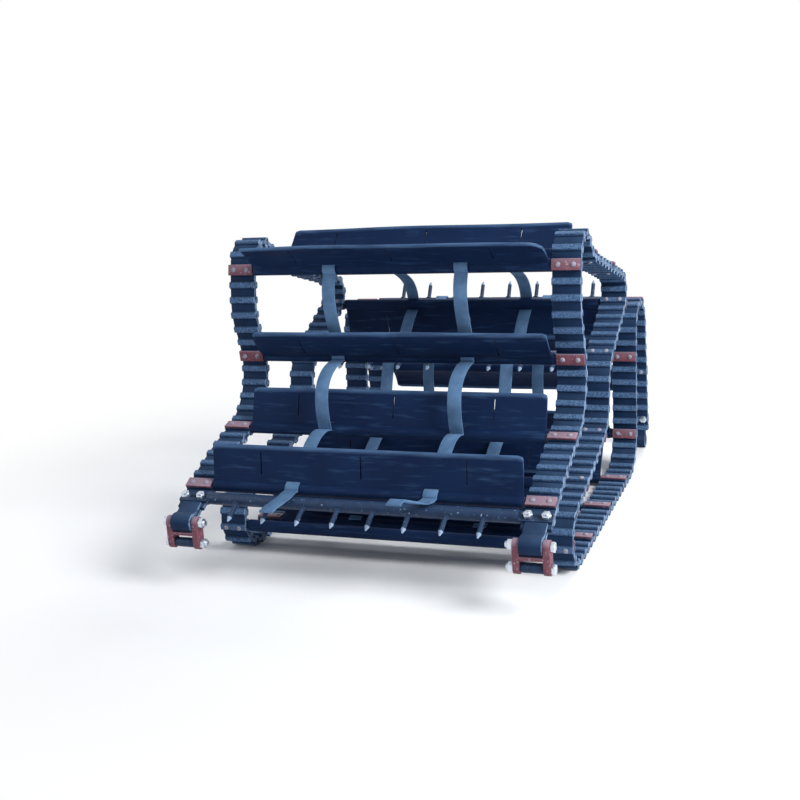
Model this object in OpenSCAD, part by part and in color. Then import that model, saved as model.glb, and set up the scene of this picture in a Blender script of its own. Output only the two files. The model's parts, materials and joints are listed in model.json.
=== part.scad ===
// Haulm web: two cogged belts with flap bars and finger bars between them, folded in a heap.
// X runs across the web, the coupled end faces -Y, and the heap stands on Z = 0.

/* [Web] */
// Distance between the middles of the two belts
belt_spread = 740; // [600:1:900]
// Distance from one bar to the next along the belt
bar_pitch = 200; // [190:1:210]
// Number of cog steps in one bay
cogs_per_bay = 6; // [5:1:7]
// Distance along the belt from the coupling pin to the first bar
first_bar = 98; // [94:1:110]

/* [Belt] */
// Width of a belt
belt_w = 60; // [50:1:80]
// Thickness of the belt between its cogs
belt_base = 10; // [8:0.5:12]
// Height of a cog above the belt
cog_h = 6; // [4:0.5:7]
// Length of a cog at its top, along the belt
cog_top = 11; // [8:0.5:13]
// Length of a cog at its root, along the belt
cog_root = 19; // [16:0.5:22]

/* [Belt ends] */
// Width of the tongue that passes round the bush
tongue_w = 44; // [36:1:48]
// Thickness of the doubled tongue
tongue_t = 20; // [16:0.5:24]
// Length of the tongue from the pin to the full width of the belt
tongue_len = 38; // [34:1:42]
// Outer radius of the loop round the bush
eye_r = 19; // [18:0.5:21]
// Outer radius of the bush
bush_r = 11; // [10:0.5:13]
// Distance from the pin to the clamp bolts
clamp_s = 62; // [58:1:66]
// Distance from a clamp bolt to the edge of the belt
clamp_edge = 12; // [10:0.5:14]

/* [Bars] */
// Radius of a flap bar
rod_r = 8; // [6:0.5:9]
// Outer radius of a finger bar's tube
tube_r = 13; // [12:0.5:14]
// Wall of a finger bar's tube
tube_wall = 3; // [2:0.5:4]
// Width of a bar's flattened end, along the belt
lug_w = 24; // [20:1:28]
// Thickness of a bar's flattened end
lug_t = 6; // [4:0.5:8]
// Thickness of a red clamp plate
plate_t = 5; // [3:0.5:7]

/* [Flaps] */
// Reach of a flap from the bar's axis
flap_reach = 90; // [70:1:96]
// Thickness of a flap at its foot
flap_foot = 10; // [8:0.5:12]
// Thickness of a flap at its edge
flap_edge = 6; // [4:0.5:8]
// Radius of the rubber boss round the bar
boss_r = 13; // [12:0.5:14]
// Lean of a flap from square to the belt, towards the way of travel
flap_lean = 37; // [30:1:42]
// Gap between a flap's end and the belt
flap_side_gap = 5; // [3:0.5:12]
// Width of the slits in a flap
slit_w = 3; // [2:0.5:4]

/* [Fingers] */
// Radius of a finger
finger_r = 5; // [4:0.5:6]
// Length of a finger from the tube
finger_len = 46; // [36:1:52]
// Distance from one finger to the next
finger_pitch = 76; // [68:1:78]

/* [Straps] */
// Distance of each strap from the middle of the web
strap_x = 150; // [140:1:154]
// Width of a strap
strap_w = 30; // [24:1:34]
// Thickness of a strap
strap_t = 4; // [3:0.5:5]
// Spare length of a strap in each bay
strap_slack = 12; // [6:1:16]

/* [Couplings] */
// Radius of the coupling bolts
bolt_r = 6; // [5:0.5:7]
// Width across the flats of the coupling bolts' heads and nuts
bolt_af = 19; // [17:1:22]
// Distance between the two bolts of a link
link_pitch = 44; // [41:1:48]
// Thickness of a link's side plate
link_t = 13; // [10:0.5:15]
// Half the depth of a link's side plate
link_r = 13; // [12:0.5:15]
// Thickness of a link's crossbar
crossbar_t = 6; // [5:0.5:7]
// Outer radius of the spacer on the lower bolt
spacer_r = 10; // [9:0.5:11]
// Radius of the clamp bolts
clamp_bolt_r = 5; // [4:0.5:6]
// Width across the flats of the clamp bolts' heads and nuts
clamp_af = 17; // [15:1:18]

/* [Hidden] */
$fn = 48;
bar_count = 18;
// Finger bars, and how far each row is turned about its tube from square to the belt
finger_rows = [8, 17];
finger_turns = [-95, 0];
fingers_per_row = 8;
// Radial clearance of a bolt in a bore, and of what is pressed or bonded
run_clear = 0.05;
seat_clear = 0.02;
// End clearance between a link and what it straddles
side_clear = 0.5;
hole_clear = 0.3;
// How far a bar's flattened ends run into the bar
lug_bite = 12;
// Ends of the bolts past their nuts
bolt_proud = 5;
clamp_proud = 4;
// Slits of a flap, as shares of its reach
slit_from = 0.32;
slit_share = 0.52;
// Height of the front coupling pin and the slope of the web there
pin_z = 146;
pin_slope = 29;

cog_pitch = bar_pitch / cogs_per_bay;
clamp_span = belt_w - 2 * clamp_edge;
land = cog_pitch / 2;
rod_n = belt_base / 2 + lug_t / 2;
plate_n = belt_base / 2 + lug_t;
belt_reach = belt_base / 2 + cog_h;
web_in = belt_spread - belt_w;
flap_w = web_in - 2 * flap_side_gap;
tube_len = web_in - 2 * flap_side_gap;
lug_in = flap_w / 2 - lug_bite;
blade_w = flap_w - flap_edge / 2;
bush_len = tongue_w + 2 * side_clear;
link_in = bush_len / 2 + side_clear;
link_out = link_in + link_t;
nut_t = bolt_r * 1.6;
head_t = bolt_r * 1.3;
clamp_nut_t = clamp_bolt_r * 1.6;
clamp_head_t = clamp_bolt_r * 1.3;

// How the web lies: each run is [length in bays, turn in degrees], left turns positive.
// The drop and the tail take the length that sets the web on the floor.
RISE = [[0.4, 0], [1.1, -14], [1.1, 91], [0.2, 4], [0.35, -28], [0.42, -6], [0.6, -132],
    [0.35, 40], [1.55, 0], [0.5, -138], [0.9, 0], [0.5, 61]];
UNDER = [[0.55, -71], [1.5, -5], [0.875, 169]];
REAR = [[2.9, 0], [0.75, 86], [1.25, -3], [1, -170]];

function step(p, l, turn) = abs(turn) < 0.01
    ? [p[0] + l * cos(p[2]), p[1] + l * sin(p[2]), p[2]]
    : let (r = l / turn * 180 / PI, h = p[2] + turn)
        [p[0] + r * (sin(h) - sin(p[2])), p[1] - r * (cos(h) - cos(p[2])), h];
function in_mm(runs) = [for (run = runs) [run[0] * bar_pitch, run[1]]];
function walk(p, runs, i = 0) = i == len(runs) ? p : walk(step(p, runs[i][0], runs[i][1]), runs, i + 1);
function total(runs, i = 0) = i == len(runs) ? 0 : runs[i][0] + total(runs, i + 1);

before_drop = walk([0, pin_z, pin_slope], in_mm(RISE));
after_drop = walk([0, 0, before_drop[2]], in_mm(UNDER));
bend = in_mm(UNDER)[2];
bend_r = bend[0] / bend[1] * 180 / PI;
bend_end_z = belt_reach + bend_r * (1 - cos(after_drop[2]));
drop_len = (bend_end_z - before_drop[1] - after_drop[1]) / sin(before_drop[2]);
TO_REAR = concat(in_mm(RISE), [[drop_len, 0]], in_mm(UNDER), in_mm(REAR));
rear_end = walk([0, pin_z, pin_slope], TO_REAR);
tail_len = (eye_r - rear_end[1]) / sin(rear_end[2]);
RUNS = concat(TO_REAR, [[tail_len, 0]]);
web_len = total(RUNS);

// Place and heading at a distance along the belt's middle line
function at(s, p = [0, pin_z, pin_slope], i = 0) = s <= RUNS[i][0] || i == len(RUNS) - 1
    ? step(p, s, RUNS[i][1] * s / RUNS[i][0])
    : at(s - RUNS[i][0], step(p, RUNS[i][0], RUNS[i][1]), i + 1);
// A point n outside the belt's middle line
function off(s, n) = let (p = at(s)) [p[0] - n * sin(p[2]), p[1] + n * cos(p[2])];
// A point y ahead and n outside, straight on from a place on the belt
function ahead(s, y, n) = let (p = off(s, n), a = at(s)[2]) [p[0] + y * cos(a), p[1] + y * sin(a)];
function station(k) = first_bar + (k - 1) * bar_pitch;
function is_fingers(k) = len(search(k, finger_rows)) > 0;

// The heap is centred on the origin by its reach to the front and to the rear
front_reach = -max(link_r, eye_r);
flap_tips = [for (k = [1:bar_count]) flap_point(k, flap_reach)[0]];
rear_reach = max(concat(flap_tips, [at(web_len)[0] + eye_r]));
heap_mid = (front_reach + rear_reach) / 2;
function flap_point(k, r) = let (s = station(k), p = at(s), a = p[2] + 90 - flap_lean, b = off(s, rod_n))
    [b[0] + r * cos(a), b[1] + r * sin(a)];

function two(k) = k < 10 ? str("0", k) : str(k);
FLAPS = [for (k = [1:bar_count]) if (!is_fingers(k)) k];

rubber = "#2c3644";
strap_rubber = "#5c6b80";
steel = "#3c444f";
zinc = "#c2c8ce";
red = "#a8464a";

// Local frame on the belt: x across the web, y along the belt, z out of its outer face
module on_belt(s) {
    p = at(s);
    translate([0, p[0] - heap_mid, p[1]]) rotate([p[2], 0, 0]) children();
}

// A profile drawn in side view, given a width across the web
module across(w) {
    translate([-w / 2, -heap_mid, 0]) rotate([90, 0, 90]) linear_extrude(w) children();
}

module rod_x(r, l) {
    rotate([0, 90, 0]) cylinder(r = r, h = l, center = true);
}

module hex_x(af, l) {
    rotate([0, 90, 0]) cylinder(d = af / cos(30), h = l, center = true, $fn = 6);
}

module hex_z(af, l) {
    cylinder(d = af / cos(30), h = l, $fn = 6);
}

function side(hand) = hand * belt_spread / 2;

// Cogs: one outline runs along the outer face and back along the inner face
first_cog = ceil((tongue_len - first_bar + cog_root) / cog_pitch);
last_cog = floor((web_len - tongue_len - first_bar - cog_root) / cog_pitch);
function cog_s(j) = first_bar + j * cog_pitch;
function clear_of_clamp(s) = abs(s - clamp_s) > land && abs(web_len - s - clamp_s) > land;
function is_station(j) = j >= 0 && j < bar_count * cogs_per_bay && j % cogs_per_bay == 0;
function cog(s, face) = [
    off(s - cog_root / 2, face * belt_base / 2), off(s - cog_top / 2, face * belt_reach),
    off(s + cog_top / 2, face * belt_reach), off(s + cog_root / 2, face * belt_base / 2)];
function flat(s, face) = [for (u = [-0.5:0.25:0.5]) off(s + u * cog_pitch, face * belt_base / 2)];
// A bar's flattened end seats on a straight land
function seat(s) = [for (y = [-lug_w / 2, lug_w / 2]) ahead(s, y, belt_base / 2)];
function outer_face() = [for (j = [first_cog:last_cog])
    each (is_station(j) ? seat(cog_s(j)) : clear_of_clamp(cog_s(j)) ? cog(cog_s(j), 1) : flat(cog_s(j), 1))];
function inner_face() = [for (j = [first_cog:last_cog])
    each (clear_of_clamp(cog_s(j)) ? cog(cog_s(j), -1) : flat(cog_s(j), -1))];
function reversed(list) = [for (i = [len(list) - 1:-1:0]) list[i]];
function belt_outline() = concat(
    [off(tongue_len, -belt_base / 2), off(tongue_len, belt_base / 2)], outer_face(),
    [off(web_len - tongue_len, belt_base / 2), off(web_len - tongue_len, -belt_base / 2)],
    reversed(inner_face()));

// Doubled tongue and loop at a belt end; way is 1 where the belt leads away and -1 where it arrives
module belt_end(s, way) {
    on_belt(s) {
        rod_x(eye_r, tongue_w);
        translate([-tongue_w / 2, way < 0 ? -tongue_len - cog_top : 0, -tongue_t / 2])
            cube([tongue_w, tongue_len + cog_top, tongue_t]);
    }
}

module clamp_places(s) {
    for (i = [-1, 1]) {
        on_belt(s) translate([i * clamp_span / 2, 0, 0]) children();
    }
}

module belt(hand) {
    color(rubber) translate([side(hand), 0, 0]) difference() {
        union() {
            across(belt_w) polygon(belt_outline());
            belt_end(0, 1);
            belt_end(web_len, -1);
        }
        for (s = [0, web_len]) {
            on_belt(s) rod_x(bush_r + seat_clear, 2 * belt_w);
        }
        for (s = [clamp_s, web_len - clamp_s]) {
            clamp_places(s) cylinder(r = clamp_bolt_r + hole_clear, h = 6 * belt_base, center = true);
        }
    }
}

// Flattened bar ends on both belts
module lugs(reach_in) {
    for (hand = [-1, 1]) {
        translate([hand < 0 ? -(belt_spread + belt_w) / 2 : reach_in, -lug_w / 2, -lug_t / 2])
            cube([(belt_spread + belt_w) / 2 - reach_in, lug_w, lug_t]);
    }
}

module tube() {
    difference() {
        union() {
            rod_x(tube_r, tube_len);
            lugs(lug_in);
        }
        rod_x(tube_r - tube_wall, 2 * lug_in);
    }
}

module bar(k) {
    color(steel) on_belt(station(k)) translate([0, 0, rod_n]) {
        if (is_fingers(k)) {
            tube();
        } else {
            rod_x(rod_r, flap_w);
            lugs(lug_in);
        }
    }
}

// Ends of the bar's lugs reach into the flap's boss, so the boss is relieved there
module flap(k) {
    color(rubber) on_belt(station(k)) translate([0, 0, rod_n]) difference() {
        union() {
            rod_x(boss_r, flap_w);
            rotate([-flap_lean, 0, 0]) blade();
        }
        rod_x(rod_r + seat_clear, 2 * flap_w);
        lug_relief();
    }
}

// Tapered blade of a flap, with three slits and a slot at its foot for each strap
module blade() {
    slits = [-1 / 3, 0, 1 / 3];
    difference() {
        translate([-blade_w / 2, 0, 0]) rotate([90, 0, 90]) linear_extrude(blade_w) polygon([
            [-flap_foot / 2, 0], [flap_foot / 2, 0], [flap_edge / 2, flap_reach - flap_edge / 3],
            [flap_edge / 5, flap_reach], [-flap_edge / 5, flap_reach],
            [-flap_edge / 2, flap_reach - flap_edge / 3]]);
        for (x = slits) {
            translate([x * blade_w - slit_w / 2, -flap_foot, flap_reach * slit_from])
                cube([slit_w, 2 * flap_foot, flap_reach * slit_share]);
        }
        for (hand = [-1, 1]) {
            translate([hand * strap_x, 0, 0])
                rod_x(boss_r + strap_t + 3 * hole_clear, strap_w + 4 * hole_clear);
        }
    }
}

module lug_relief() {
    for (hand = [-1, 1]) {
        translate([hand * flap_w / 2, 0, 0]) cube([2 * (flap_w / 2 - lug_in) + 2 * hole_clear,
            4 * boss_r, lug_t + 2 * hole_clear], center = true);
    }
}

// A row of fingers stands on a tube, turned about the tube from square to the belt
module finger_row(s, turn) {
    on_belt(s) translate([0, 0, rod_n]) rotate([turn, 0, 0]) {
        for (i = [0:fingers_per_row - 1]) {
            translate([(i - (fingers_per_row - 1) / 2) * finger_pitch, 0, 0]) finger();
        }
    }
}

module finger() {
    tip = finger_r * 2;
    difference() {
        union() {
            cylinder(r = finger_r, h = tube_r + finger_len - tip);
            translate([0, 0, tube_r + finger_len - tip]) cylinder(r1 = finger_r, r2 = finger_r / 4, h = tip);
        }
        rod_x(tube_r + seat_clear, 4 * finger_r);
    }
}

module fingers() {
    color(steel) {
        finger_row(clamp_s, 90);
        for (i = [0:len(finger_rows) - 1]) {
            finger_row(station(finger_rows[i]), finger_turns[i]);
        }
    }
}

// Straps: two lengths meet where the web doubles back, each over the bosses it passes. Angles about a
// boss are measured from the way of travel.
STRAP_LENGTHS = [[1, 10], [12, bar_count]];
// Where a strap meets a boss, where it leaves one, and where it leaves one ahead of an inward fold
strap_on = 145;
strap_off = 30;
strap_turned = 150;
least_off = 20;
// The least turn of an inward fold, and the turn that pulls a strap straight
inward_turn = 80;
taut_turn = 40;
strap_arc_step = 15;
boss_n = boss_r + strap_t / 2 + hole_clear;
function around(k, a) = let (p = at(station(k)), b = off(station(k), rod_n))
    [b[0] + boss_n * cos(p[2] + a), b[1] + boss_n * sin(p[2] + a)];
// Turn from the way of travel at bar k to the straight way from bar i to bar i + 1
function turn_at(k, i) = let (d = at(station(i + 1)) - at(station(i)),
        a = atan2(d[1], d[0]) - at(station(k))[2])
    a - 360 * round(a / 360);
// Where the web folds inwards the strap stays in front of the flap and bows out
function folds_in(k) = at(station(k + 1))[2] - at(station(k))[2] > inward_turn;
function leave(k) = let (turn = turn_at(k, k))
    folds_in(k) ? strap_turned : turn > 0 ? max(strap_off - turn, least_off) : min(strap_off, 90 + turn);
function arrive(k) = let (turn = k > 1 ? turn_at(k, k - 1) : 0)
    turn > 0 ? max(strap_on, 90 + turn) : max(90, strap_on + turn);
// Rise of a shallow arc over chord c, less where the web turns in
function loose(k) = 1 - min(max(turn_at(k, k), 0), taut_turn) / taut_turn;
function bow(k, c) = let (h = sqrt(c * max(bar_pitch + strap_slack - c, 1) * 3 / 8))
    folds_in(k) ? h : min(h, bar_pitch / 10) * loose(k);
function bay(k) = let (a = around(k, leave(k)), d = around(k + 1, arrive(k + 1)) - a, c = norm(d),
        n = [-d[1], d[0]] / c * bow(k, c))
    [for (u = [0.08:0.07:0.93]) a + d * u + n * (folds_in(k) ? 4 * u * (1 - u) : 6.75 * u * u * (1 - u))];
function over(k, last) = let (sweep = max(arrive(k) - last, 0), n = ceil(sweep / strap_arc_step))
    [for (i = [n:-1:0]) around(k, last + sweep * i / max(n, 1))];
// The front length ends loose, a little clear of the end bar
free_lift = 3;
strap_free = [for (i = [0:4])
    off(clamp_s * (0.15 + 0.25 * i), rod_n + tube_r + strap_t + free_lift * (4 - i))];
function strap_line(first, last) = concat(first == 1 ? strap_free : [],
    [for (k = [first:last - 1]) each concat(over(k, leave(k)), bay(k))], over(last, strap_off));
function ribbon(line, t) = let (n = len(line), sides = [for (i = [0:n - 1]) let (
        d = line[min(i + 1, n - 1)] - line[max(i - 1, 0)]) [-d[1], d[0]] / norm(d) * t / 2])
    concat([for (i = [0:n - 1]) line[i] + sides[i]], reversed([for (i = [0:n - 1]) line[i] - sides[i]]));

module strap(hand) {
    color(strap_rubber) translate([hand * strap_x, 0, 0]) {
        for (part = STRAP_LENGTHS) {
            across(strap_w) polygon(ribbon(strap_line(part[0], part[1]), strap_t));
        }
    }
}

// Red plates hold the flattened bar ends on the belts
module clamp_plates(hand) {
    color(red) for (k = [1:bar_count]) {
        on_belt(station(k)) translate([side(hand) - belt_w / 2, -lug_w / 2, plate_n])
            cube([belt_w, lug_w, plate_t]);
    }
}

module end_bar() {
    color(steel) difference() {
        on_belt(clamp_s) translate([0, 0, rod_n]) tube();
        for (hand = [-1, 1]) {
            translate([side(hand), 0, 0]) clamp_places(clamp_s)
                cylinder(r = clamp_bolt_r + hole_clear, h = 6 * belt_base, center = true);
        }
    }
}

module tail_plates() {
    color(red) for (hand = [-1, 1]) {
        translate([side(hand), 0, 0]) difference() {
            on_belt(web_len - clamp_s) translate([-belt_w / 2, -lug_w / 2, belt_base / 2])
                cube([belt_w, lug_w, lug_t]);
            clamp_places(web_len - clamp_s)
                cylinder(r = clamp_bolt_r + hole_clear, h = 6 * belt_base, center = true);
        }
    }
}

module each_clamp_bolt() {
    for (hand = [-1, 1], s = [clamp_s, web_len - clamp_s]) {
        translate([side(hand), 0, 0]) clamp_places(s) children();
    }
}

clamp_top = plate_n + clamp_nut_t;

module clamp_bolts() {
    color(zinc) each_clamp_bolt() {
        translate([0, 0, -belt_base / 2 - seat_clear - clamp_head_t]) hex_z(clamp_af, clamp_head_t);
        translate([0, 0, -belt_base]) cylinder(r = clamp_bolt_r, h = belt_base + clamp_top + clamp_proud);
    }
}

module clamp_nuts() {
    color(zinc) each_clamp_bolt() translate([0, 0, plate_n]) difference() {
        hex_z(clamp_af, clamp_nut_t);
        translate([0, 0, -1]) cylinder(r = clamp_bolt_r + seat_clear, h = clamp_nut_t + 2);
    }
}

// Frame of a coupling: the pin's axis, level with the floor
module at_pin(hand, drop = 0) {
    translate([side(hand), -heap_mid, pin_z - drop]) children();
}

module bush(hand, s) {
    color(steel) translate([side(hand), 0, 0]) on_belt(s) difference() {
        rod_x(bush_r, bush_len);
        rod_x(bolt_r + run_clear, 2 * bush_len);
    }
}

module link(hand) {
    color(red) at_pin(hand) difference() {
        union() {
            for (i = [-1, 1]) {
                translate([i * (link_in + link_out) / 2, 0, 0]) {
                    rod_x(link_r, link_t);
                    translate([0, 0, -link_pitch]) rod_x(link_r, link_t);
                    translate([-link_t / 2, -link_r, -link_pitch]) cube([link_t, 2 * link_r, link_pitch]);
                }
            }
            translate([-link_in - 1, -link_r, -eye_r - side_clear - crossbar_t])
                cube([2 * link_in + 2, 2 * link_r, crossbar_t]);
        }
        for (z = [0, -link_pitch]) {
            translate([0, 0, z]) rod_x(bolt_r + run_clear, 4 * link_out);
        }
    }
}

// Bolt from the outer side, with its nut on the inner side of the web
module link_bolt(hand) {
    head_x = link_out + side_clear;
    end_x = link_out + side_clear + nut_t + bolt_proud;
    translate([hand * (head_x + head_t / 2), 0, 0]) hex_x(bolt_af, head_t);
    translate([hand * (head_x - end_x) / 2, 0, 0]) rod_x(bolt_r, head_x + end_x);
}

module link_nut(hand) {
    translate([-hand * (link_out + side_clear + nut_t / 2), 0, 0]) difference() {
        hex_x(bolt_af, nut_t);
        rod_x(bolt_r + seat_clear, 2 * nut_t);
    }
}

module upper_bolts() {
    color(zinc) for (hand = [-1, 1]) {
        at_pin(hand) link_bolt(hand);
    }
}

module upper_nuts() {
    color(zinc) for (hand = [-1, 1]) {
        at_pin(hand) link_nut(hand);
    }
}

module lower_bolt(hand) {
    color(zinc) at_pin(hand, link_pitch) link_bolt(hand);
}

module lower_nut(hand) {
    color(zinc) at_pin(hand, link_pitch) link_nut(hand);
}

module spacer(hand) {
    color(steel) at_pin(hand, link_pitch) difference() {
        rod_x(spacer_r, 2 * link_in);
        rod_x(bolt_r + run_clear, 4 * link_in);
    }
}

belt(-1);  // left_belt
belt(1);  // right_belt
for (k = [1:bar_count]) bar(k);
for (k = FLAPS) flap(k);
fingers();
strap(-1);  // left_strap
strap(1);  // right_strap
clamp_plates(-1);  // left_clamp_plates
clamp_plates(1);  // right_clamp_plates
end_bar();
link(-1);  // left_link
link(1);  // right_link
upper_bolts();
upper_nuts();
lower_bolt(-1);  // left_lower_bolt
lower_bolt(1);  // right_lower_bolt
lower_nut(-1);  // left_lower_nut
lower_nut(1);  // right_lower_nut
spacer(-1);  // left_spacer
spacer(1);  // right_spacer
bush(-1, 0);  // left_eye_bush
bush(1, 0);  // right_eye_bush
clamp_bolts();
clamp_nuts();
bush(-1, web_len);  // left_tail_bush
bush(1, web_len);  // right_tail_bush
tail_plates();
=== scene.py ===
# %% [markdown]
# # A haulm web, folded in a heap
# A haulm web is the carrying belt of a root-crop harvester. Two cogged rubber belts run side by side,
# steel bars cross between them, and rubber flaps and rows of fingers on the bars move the haulm along.
# Here the web lies off the machine, folded in a heap, with the coupled belt ends towards the viewer.
#
# The imported model gives every piece its size, place and body. This script only dresses it, so the
# first cell loads that frame.

# %% Load the frame
import json
import math
import random

import bmesh
import bpy
from mathutils import Matrix, Vector


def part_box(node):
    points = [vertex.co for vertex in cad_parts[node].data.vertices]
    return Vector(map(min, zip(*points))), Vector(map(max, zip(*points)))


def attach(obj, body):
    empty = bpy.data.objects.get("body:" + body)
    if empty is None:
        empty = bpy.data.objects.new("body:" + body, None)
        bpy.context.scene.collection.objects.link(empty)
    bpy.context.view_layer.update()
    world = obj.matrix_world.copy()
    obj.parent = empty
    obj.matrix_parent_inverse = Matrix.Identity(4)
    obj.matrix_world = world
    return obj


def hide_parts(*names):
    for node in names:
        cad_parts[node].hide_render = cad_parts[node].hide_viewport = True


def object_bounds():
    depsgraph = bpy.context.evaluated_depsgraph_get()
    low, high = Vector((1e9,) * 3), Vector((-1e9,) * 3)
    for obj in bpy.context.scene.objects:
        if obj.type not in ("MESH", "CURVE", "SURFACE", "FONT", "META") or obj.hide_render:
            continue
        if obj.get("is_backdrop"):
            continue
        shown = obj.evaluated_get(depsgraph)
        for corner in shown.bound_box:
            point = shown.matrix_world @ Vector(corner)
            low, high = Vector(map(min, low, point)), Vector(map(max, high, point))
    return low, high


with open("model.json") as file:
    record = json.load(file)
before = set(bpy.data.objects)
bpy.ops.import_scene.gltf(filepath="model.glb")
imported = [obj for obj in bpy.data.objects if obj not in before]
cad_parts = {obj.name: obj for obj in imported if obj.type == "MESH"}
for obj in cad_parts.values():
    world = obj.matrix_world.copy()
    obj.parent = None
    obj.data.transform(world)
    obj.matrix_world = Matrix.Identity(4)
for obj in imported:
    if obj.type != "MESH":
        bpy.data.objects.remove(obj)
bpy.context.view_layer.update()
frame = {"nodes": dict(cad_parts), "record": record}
scene = bpy.context.scene
MM = 0.001
body_of_node = {n: b for b, nodes in frame["record"]["behaviour"]["bodies"].items() for n in nodes}

# %% [markdown]
# ## Camera
# The picture was taken from a little right of the front, looking down on the heap, with the camera
# held a few degrees off level. A camera can be placed by eye or worked out. This one was worked out, by
# fitting the known width of the belts and the places of the bars and coupling pins, and it needs no
# shift. Its turn is three plain turns, one after the other: up from the floor, round to the right, and
# a tilt about the bars.

# %% Camera
VIEW_UP = math.radians(86.26)
VIEW_ROUND = math.radians(20.98)
VIEW_TILT = math.radians(-11.27)
CAMERA_AT = Vector((0.929, -2.602, 0.97))
LENS_MM = 54

camera = bpy.data.objects.new("camera", bpy.data.cameras.new("camera"))
camera.data.lens = LENS_MM
view_turn = Matrix.Rotation(VIEW_ROUND, 4, "Z") @ Matrix.Rotation(VIEW_UP, 4, "X")
camera.matrix_world = Matrix.Translation(CAMERA_AT) @ Matrix.Rotation(VIEW_TILT, 4, "X") @ view_turn
scene.collection.objects.link(camera)
scene.camera = camera
print("camera at", tuple(CAMERA_AT), "lens", LENS_MM, "mm")

# %% [markdown]
# ## The line of the fold
# Everything on the web follows the middle line of its belts. It is a chain of straight and round
# stretches, each with a length in bays and a turn in degrees, so a few numbers describe the whole heap.
# The line starts at the front pin, which the frame gives, and two stretches take the length that sets
# the web on the floor.

# %% The line of the fold
BAY = 200 * MM
FIRST_BAR = 98 * MM
BAR_COUNT = 18
PIN_SLOPE = 29
# Stretches as (length in bays, turn in degrees): up and over, under the heap, and round to the rear
RISE = [(0.4, 0), (1.1, -14), (1.1, 91), (0.2, 4), (0.35, -28), (0.42, -6), (0.6, -132),
        (0.35, 40), (1.55, 0), (0.5, -138), (0.9, 0), (0.5, 61)]
UNDER = [(0.55, -71), (1.5, -5), (0.875, 169)]
REAR = [(2.9, 0), (0.75, 86), (1.25, -3), (1, -170)]
BELT_REACH = 11 * MM
EYE_R = 19 * MM


def middle(node):
    """Centre of a node's box."""
    low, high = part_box(node)
    return (low + high) / 2


def step(place, length, turn):
    """Place and heading at the end of one stretch; left turns are positive."""
    y, z, heading = place
    a, b = math.radians(heading), math.radians(heading + turn)
    if abs(turn) < 0.01:
        return y + length * math.cos(a), z + length * math.sin(a), heading
    r = length / (b - a)
    return y + r * (math.sin(b) - math.sin(a)), z - r * (math.cos(b) - math.cos(a)), heading + turn


def walk(place, runs):
    """Place and heading at the end of a chain of stretches."""
    for length, turn in runs:
        place = step(place, length * BAY, turn)
    return place


pin = middle("left_eye_bush")
belt_x = {"left": pin.x, "right": -pin.x}
START = (pin.y, pin.z, PIN_SLOPE)
before_drop = walk(START, RISE)
after_drop = walk((0, 0, before_drop[2]), UNDER)
bend_bays, bend_turn = UNDER[-1]
bend_r = bend_bays * BAY / math.radians(bend_turn)
bend_end_z = BELT_REACH + bend_r * (1 - math.cos(math.radians(after_drop[2])))
drop = (bend_end_z - before_drop[1] - after_drop[1]) / math.sin(math.radians(before_drop[2])) / BAY
TO_REAR = RISE + [(drop, 0)] + UNDER + REAR
rear_end = walk(START, TO_REAR)
tail = (EYE_R - rear_end[1]) / math.sin(math.radians(rear_end[2])) / BAY
RUNS = TO_REAR + [(tail, 0)]
WEB_LEN = sum(length for length, turn in RUNS) * BAY
print("web length %.3f m in %d stretches" % (WEB_LEN, len(RUNS)))

# %% Places on the line


def at(s):
    """Place and heading at a distance along the line."""
    place = START
    for length, turn in RUNS[:-1]:
        if s <= length * BAY:
            return step(place, s, turn * s / (length * BAY))
        place = step(place, length * BAY, turn)
        s -= length * BAY
    return step(place, s, turn=0)


def off(s, n):
    """A point n outside the line, as (y, z)."""
    y, z, heading = at(s)
    a = math.radians(heading)
    return y - n * math.sin(a), z + n * math.cos(a)


def station(k):
    """Distance along the line of bar k, counted from 1."""
    return FIRST_BAR + (k - 1) * BAY


tail_pin = middle("left_tail_bush")
miss = (Vector(off(WEB_LEN, 0)) - Vector((tail_pin.y, tail_pin.z))).length
print("end of the line off the tail bush by %.2f mm" % (miss / MM))

# %% [markdown]
# ## Small tools
# One function adds a node to any tree, sets its options, and fills or wires its inputs by name or number.
# Numbers serve where one name fits several sockets: a colour Mix takes its share on 0 and its two colours
# on 6 and 7, and a Map Range takes a value on 0, the range that it comes in on 1 and 2, and the range
# that it goes out in on 3 and 4. Colours are written as sRGB hex values, as a paint chart gives them, and
# one function makes them linear.

# %% Small tools


def add(tree, kind, wires=None, **settings):
    """Add a node, set its options, and wire or fill its inputs; a node stands for its first output."""
    node = tree.nodes.new(kind)
    for name, value in settings.items():
        setattr(node, name, value)
    for key, value in (wires or {}).items():
        if isinstance(value, bpy.types.Node):
            value = value.outputs[0]
        if isinstance(value, bpy.types.NodeSocket):
            tree.links.new(value, node.inputs[key])
        else:
            node.inputs[key].default_value = value
    return node


def linear(colour):
    """Linear RGBA of an sRGB hex colour."""
    parts = [int(colour[i:i + 2], 16) / 255 for i in (1, 3, 5)]
    return [c / 12.92 if c <= 0.04045 else ((c + 0.055) / 1.055) ** 2.4 for c in parts] + [1]


def per_mm(size):
    """Texture scale that repeats about once in this many millimetres."""
    return 1 / (size * MM)


def new_material(name, **constants):
    """A material, its tree and Object coordinates; the constants go on the shader's own sockets."""
    material = bpy.data.materials.new(name)
    material.use_nodes = True
    tree = material.node_tree
    for key, value in constants.items():
        tree.nodes["Principled BSDF"].inputs[key.replace("_", " ")].default_value = value
    return material, tree, add(tree, "ShaderNodeTexCoord").outputs["Object"]


def wired(material, **sockets):
    """Wire sockets into a material's shader, and hand the material back."""
    tree = material.node_tree
    for key, socket in sockets.items():
        tree.links.new(socket, tree.nodes["Principled BSDF"].inputs[key.replace("_", " ")])
    return material


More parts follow.
